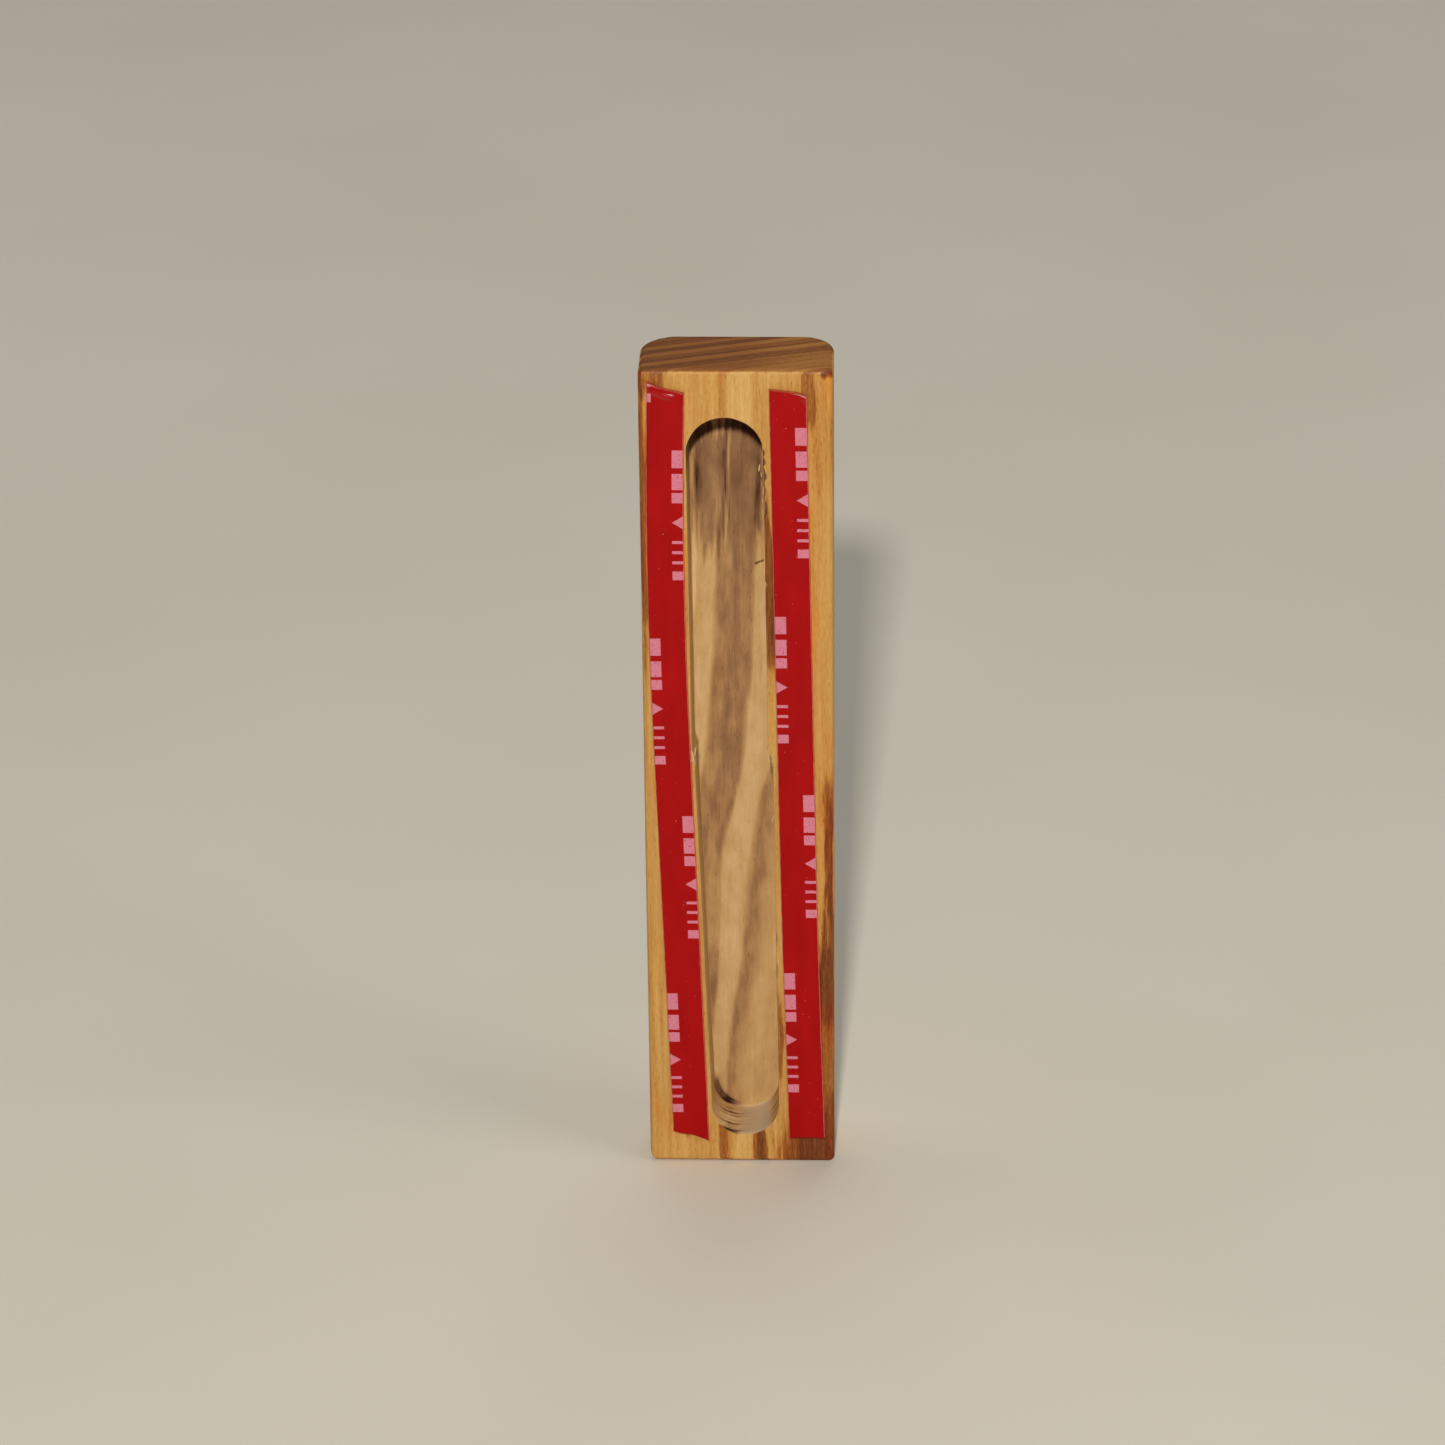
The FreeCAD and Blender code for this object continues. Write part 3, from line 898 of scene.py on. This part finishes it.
def olive_wood():
    """Each effect in turn changes a tone, from 0 palest to 1 darkest, that picks the colour."""
    g = Graph("oiled_olive_wood")
    x, y, z = place = g.place()
    raw = g.attribute("raw")
    normal_x, _, normal_z = g.normal()
    end_grain = g.smooth(g.math("ABSOLUTE", normal_z), 0.45, 0.85)

    slow = g.swing(place, (11.0, 11.0, 42.0), detail=1.0)
    middling = g.swing(place, (3.4, 3.4, 17.0), shift=7.1)
    quick = g.swing(place, (0.9, 0.9, 5.5), shift=3.3)
    wander = g.add(g.times(slow, 1.6), g.times(middling, 1.1), g.times(quick, 0.45))
    outer = g.add(g.line(g.less(y, BACK), -DIP, x), wander)
    tone = layer_tone(g, place, outer)

    # Grain: long streaks, growth layers, short fibres and flecks. Raw wood is blotchier.
    streaks = g.swing(place, (0.55, 0.55, 16.0), detail=3.0, shift=1.7)
    fibres = g.swing(place, (0.16, 0.16, 2.6), shift=5.2)
    flecks = g.swing(place, (0.30, 0.30, 1.1), shift=17.0)
    layers = g.swing((outer, g.times(y, 0.2), z), (0.9, 4.0, 26.0), detail=3.0, shift=9.4)
    blotches = g.swing(place, (1.6, 1.6, 4.5), detail=3.0, shift=21.0)
    grain = g.add(
        g.times(streaks, 0.26), g.times(layers, 0.30), g.times(fibres, 0.24), g.times(flecks, 0.20),
    )
    grain = g.times(grain, g.line(raw, -0.62, 1.0))
    tone = g.add(tone, grain, g.times(blotches, g.times(raw, 0.34)))

    # End grain: the oiled ends are darker and greyer, and the pocket's foot is banded at its
    # left and washed at its right.
    oiled_end = g.times(end_grain, g.less(1.0, raw))
    raw_end = g.times(end_grain, raw)
    rings = g.swing((outer, g.times(y, 0.3), z), (2.6, 9.0, 40.0), detail=4.0, shift=31.0)
    tone = g.add(tone, g.times(g.times(rings, end_grain), 0.8))
    end_tone = g.math("MAXIMUM", g.line(tone, 0.62, 0.36), 0.50)
    end_tone = g.line(g.smooth(x, -2.0, 10.0), -0.08, end_tone)
    tone = g.mix_number(oiled_end, tone, end_tone)
    washed = g.times(raw_end, g.smooth(x, -2.6, 3.6))
    banded = g.times(raw_end, g.smooth(x, 2.0, -3.0))
    tone = g.mix_number(g.times(banded, 0.8), tone, g.line(tone, 3.2, -0.80))
    tone = g.mix_number(g.times(washed, 0.8), tone, 0.18)

    # The pocket's left wall is painted paler than its floor: painted light on that wall. Then come
    # the nick, with painted shade in it, the scorch marks and their painted shade, the torn rim and
    # the pores.
    painted_light_left_wall = g.times(raw, g.smooth(normal_x, 0.5, 0.9))
    tone = g.mix_number(g.times(painted_light_left_wall, 0.7), tone, 0.10)
    # The nick's darkness is painted shade in its groove; its dent comes from the bump.
    nick = nick_mask(g, place, raw)
    tone = g.line(nick, 0.5, tone)
    tone = g.line(g.attribute("scorch_and_shade"), 0.65, tone)
    tone = g.line(g.attribute("worn"), -0.30, tone)
    pores = g.smooth(g.noise(place, (0.2, 0.2, 1.3), detail=1.0, shift=12.6), 0.66, 0.76)
    tone = g.line(pores, 0.16, tone)

    colour = g.mix(raw, g.ramp(tone, OILED), g.ramp(tone, BARE))
    colour = g.mix(g.times(oiled_end, 0.28), colour, linear(150, 104, 64))
    colour = g.mix(g.times(washed, 0.8), colour, linear(214, 198, 172))
    glow = g.smooth(g.noise(place, (5.0, 5.0, 20.0), detail=1.0, shift=4.4), 0.5, 0.8)
    glow = g.times(glow, g.less(g.line(raw, -0.5, 0.6), g.times(oiled_end, 0.6)))
    colour = g.mix(glow, colour, linear(222, 150, 60), blend="SOFT_LIGHT")
    dull = g.math("MAXIMUM", raw, g.times(end_grain, 0.8))
    roughness = g.line(dull, 0.36, g.line(fibres, 0.25, 0.46))
    height = g.add(fibres, g.times(streaks, 0.5), g.times(pores, -0.8), g.times(nick, -4.0))
    return g.set(
        Base_Color=colour, Roughness=roughness, Normal=g.bump(height, 0.05, 0.6),
        Specular_IOR_Level=0.22, Coat_Weight=0.04, Coat_Roughness=0.35,
    )


# ---------------------------------------------------------------- liner film and foam

# A generic peel mark, at every MARK_REPEAT down the strip and MARK_REACH wide: bars and a
# pointer by their start and end. The first bar starts MARK_LEAD into the repeat.
MARK_REPEAT = 62.5
MARK_REACH = 1.9
MARK_LEAD = 0.5
MARK_BARS = (
    (0.0, 3.0), (4.0, 6.6), (7.3, 9.0), (15.2, 15.8), (16.9, 17.5), (18.6, 19.2), (20.3, 21.9),
)
POINTER = (11.2, 13.4)
WHITE, BLACK = (255, 255, 255), (0, 0, 0)


def marks_along(g, down, across, start):
    """Pale printed marks along one edge of the film, cut by that edge."""
    beat = g.math("WRAP", g.less(down, start), MARK_REPEAT, 0.0)
    stops = [(0.0, BLACK)]
    for first, last in MARK_BARS:
        stops.append(((first + MARK_LEAD) / MARK_REPEAT, WHITE))
        stops.append(((last + MARK_LEAD) / MARK_REPEAT, BLACK))
    bars = g.ramp(g.math("DIVIDE", beat, MARK_REPEAT), stops, constant=True)
    inside = g.smooth(across, MARK_REACH, MARK_REACH - 0.12)
    middle = sum(POINTER) / 2 + MARK_LEAD
    half = (POINTER[1] - POINTER[0]) / 2
    off = g.math("ABSOLUTE", g.less(beat, middle))
    slope = g.add(g.times(off, MARK_REACH / half), across)
    pointer = g.smooth(slope, MARK_REACH, MARK_REACH - 0.15)
    return g.math("MAXIMUM", g.times(bars, inside), pointer)


def release_film(name, left_start, right_start):
    """Red film; its left and right edges' marks first start that far below the case's top."""
    g = Graph(name)
    place = g.place()
    # The head's own mark on the left edge is cut narrower, and sits a little higher.
    down = g.attribute("down")
    near_head = g.smooth(down, 12.0, 6.0)
    raised = g.line(near_head, -1.1, down)
    narrowed = g.line(near_head, 1.2, g.attribute("from_left"))
    marks = g.math(
        "MAXIMUM",
        marks_along(g, raised, narrowed, left_start),
        marks_along(g, down, g.attribute("from_right"), right_start),
    )
    patchy = g.noise(place, (0.25, 0.25, 0.25))
    ink = g.times(marks, g.smooth(patchy, 0.2, 0.45))
    cloud = g.noise(place, (3.0, 3.0, 9.0), detail=3.0, shift=2.0)
    red = g.ramp(cloud, ((0.2, (164, 8, 10)), (0.5, (172, 10, 12)), (0.8, (180, 12, 14))))
    speck = g.smooth(g.noise(place, (0.34, 0.34, 0.34), detail=0.0, shift=8.0), 0.84, 0.88)
    red = g.mix(g.times(speck, 0.6), red, linear(226, 120, 110))
    colour = g.mix(ink, red, linear(222, 132, 152))
    roll = g.noise(place, (1.1, 1.1, 6.0), shift=6.0)
    return g.set(
        Base_Color=colour, Roughness=g.line(cloud, 0.10, 0.16),
        Normal=g.bump(g.add(roll, g.times(ink, 0.4)), 0.03, 0.5),
        Specular_IOR_Level=0.09, Coat_Weight=g.line(g.attribute("bent"), 0.95, 0.02),
        Coat_Roughness=0.22,
    )


def acrylic_foam():
    """Clear foam adhesive: its face is milky with a pink rim, and its cut edge carries painted
    light: the film's red at the face and the wood's gold at the root, as if seen through the foam."""
    g = Graph("acrylic_foam_tape")
    _, y, _ = place = g.place()
    _, normal_y, _ = g.normal()
    cells = g.noise(place, (0.12, 0.12, 0.12), detail=3.0)
    grime = g.noise(place, (2.0, 0.6, 5.0), detail=3.0, shift=3.0)
    level = g.math("DIVIDE", g.less(y, FOAM_FACE), FOAM_ROOT - FOAM_FACE)
    level = g.add(level, g.line(grime, 0.3, -0.15))
    # The edge's red and gold are painted light, seen through the clear foam from the film and the
    # wood.
    colour = g.ramp(level, (
        (0.0, (182, 32, 28)), (0.35, (200, 66, 48)), (0.7, (214, 120, 84)), (1.0, (206, 138, 84)),
    ))
    milk = g.ramp(g.noise(place, (1.4, 1.4, 3.5), detail=4.0, shift=11.0), (
        (0.3, (202, 186, 154)), (0.55, (214, 202, 178)), (0.75, (222, 214, 196)),
    ))
    from_edge = g.math("MINIMUM", g.attribute("from_left"), g.attribute("from_right"))
    milk = g.mix(g.times(g.smooth(from_edge, 0.3, 0.12), 0.8), milk, linear(226, 138, 112))
    colour = g.mix(g.smooth(normal_y, -0.7, -0.95), colour, milk)
    return g.set(
        Base_Color=colour, Roughness=g.line(cells, 0.2, 0.35),
        Normal=g.bump(cells, 0.04, 0.7), Specular_IOR_Level=0.3,
    )


def studio_floor():
    """Pale paper with a faint tooth."""
    g = Graph("pale_paper_floor")
    place = g.place()
    cloud = g.noise(place, (140.0, 140.0, 140.0), detail=3.0)
    colour = g.ramp(cloud, ((0.3, (234, 226, 208)), (0.7, (240, 233, 217))))
    tooth = g.noise(place, (0.8, 0.8, 0.8), detail=3.0)
    return g.set(
        Base_Color=colour, Roughness=g.line(tooth, 0.1, 0.75),
        Normal=g.bump(tooth, 0.05, 0.4), Specular_IOR_Level=0.1,
    )


# ---------------------------------------------------------------- the stage

# The floor's half width and its gap below the case, in metres.
FLOOR_HALF = 3.0
FLOOR_DROP = 0.00005

# Square softboxes aimed at the case: (name, azimuth, elevation, distance and size in metres,
# power, colour). Azimuth 0 is in front of the pocketed back.
SOFTBOXES = (
    ("key_softbox", -1.0, 31.5, 1.6, 0.06, 15.4, (1.0, 0.97, 0.92)),
    ("side_fill", 66.0, 30.0, 1.8, 0.9, 6.0, (1.0, 1.0, 1.0)),
    ("other_side_fill", -110.0, 35.0, 1.8, 1.0, 3.0, (1.0, 1.0, 1.0)),
    ("rear_fill", 180.0, 62.0, 1.8, 1.2, 7.0, (1.0, 1.0, 1.0)),
)
SKY_COLOUR = (0.80, 0.79, 0.77, 1.0)
SKY_STRENGTH = 0.035


def make_floor(material):
    """A pale sheet under the case, far wider than any view of it."""
    sheet = bmesh.new()
    bmesh.ops.create_grid(sheet, x_segments=24, y_segments=24, size=FLOOR_HALF)
    mesh = bpy.data.meshes.new("studio_floor")
    sheet.to_mesh(mesh)
    sheet.free()
    floor = link_new("studio_floor", mesh)
    floor.location.z = FOOT * MM - FLOOR_DROP
    mesh.materials.append(material)


def make_lights():
    """The softboxes, and a faint even sky."""
    aim = Vector((0.0, 0.0, HEAD * MM / 2))
    for name, azimuth, elevation, distance, size, power, colour in SOFTBOXES:
        turn, rise = math.radians(azimuth), math.radians(elevation)
        way = Vector((
            math.sin(turn) * math.cos(rise), -math.cos(turn) * math.cos(rise), math.sin(rise),
        ))
        lamp = bpy.data.lights.new(name, "AREA")
        lamp.size = size
        lamp.energy = power
        lamp.color = colour
        holder = link_new(name, lamp)
        holder.location = aim + way * distance
        holder.rotation_euler = way.to_track_quat("Z", "Y").to_euler()
    world = bpy.data.worlds.new("pale_room")
    bpy.context.scene.world = world
    world.use_nodes = True
    sky = world.node_tree.nodes["Background"]
    sky.inputs["Color"].default_value = SKY_COLOUR
    sky.inputs["Strength"].default_value = SKY_STRENGTH


# The camera looks down on the back of the case from almost straight behind it. Its angles are
# in degrees, and its lens and sensor in millimetres.
CAMERA_AIM = Vector((-2.49, -6.95, 79.07)) * MM
CAMERA_DISTANCE = 881.14 * MM
YAW, PITCH, ROLL = np.radians([-2.149, 24.973, 0.611]).tolist()
LENS = 139.5
SENSOR = 36.0


def make_camera():
    """A camera with the photo's angle and perspective."""
    forward = Vector((
        math.sin(YAW) * math.cos(PITCH),
        math.cos(YAW) * math.cos(PITCH),
        -math.sin(PITCH),
    ))
    level = Vector((math.cos(YAW), -math.sin(YAW), 0.0))
    below = forward.cross(level)
    right = math.cos(ROLL) * level + math.sin(ROLL) * below
    down = math.cos(ROLL) * below - math.sin(ROLL) * level
    lens = bpy.data.cameras.new("photo_camera")
    lens.lens = LENS
    lens.sensor_width = SENSOR
    camera = link_new("photo_camera", lens)
    turned = Matrix((right, -down, -forward)).transposed()
    place = Matrix.Translation(CAMERA_AIM - forward * CAMERA_DISTANCE)
    camera.matrix_world = place @ turned.to_4x4()
    bpy.context.scene.camera = camera


# ---------------------------------------------------------------- put together

def dress(piece, material, body, replaced=()):
    """Gives a piece its material, its body and the CAD nodes it stands for."""
    piece.data.materials.append(material)
    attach(piece, body)
    if replaced:
        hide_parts(*replaced)


wood = olive_wood()
dress(make_case(), wood, "case", ("case_body",))
dress(make_splinters(), wood, "case")

# Each strip's side, its trim, the seed of its ragged edges, and how far down its left edge's
# and its right edge's printed marks start.
STRIPS = (
    ("left", (left_head_cut, left_foot_cut, left_lift), 11, (43.8, 12.1)),
    ("right", (right_head_cut, right_foot_cut, right_lift), 15, (40.0, 8.3)),
)
foam = acrylic_foam()
film_root = FOAM_FACE - FILM_GAP
for hand, trim, seed, mark_starts in STRIPS:
    liner, tape = "release_liner_" + hand, "foam_tape_" + hand
    film = make_strip(
        liner, "red_release_film_" + hand, trim, seed, film_root - FILM, film_root, film=True,
    )
    red = release_film("red_film_" + hand, *mark_starts)
    dress(film, red, "liner_" + hand, (liner,))
    pad = make_strip(tape, "foam_strip_" + hand, trim, seed, FOAM_FACE, FOAM_ROOT)
    dress(pad, foam, "case", (tape,))

make_floor(studio_floor())
make_lights()
make_camera()
bpy.context.scene.view_settings.view_transform = "Standard"
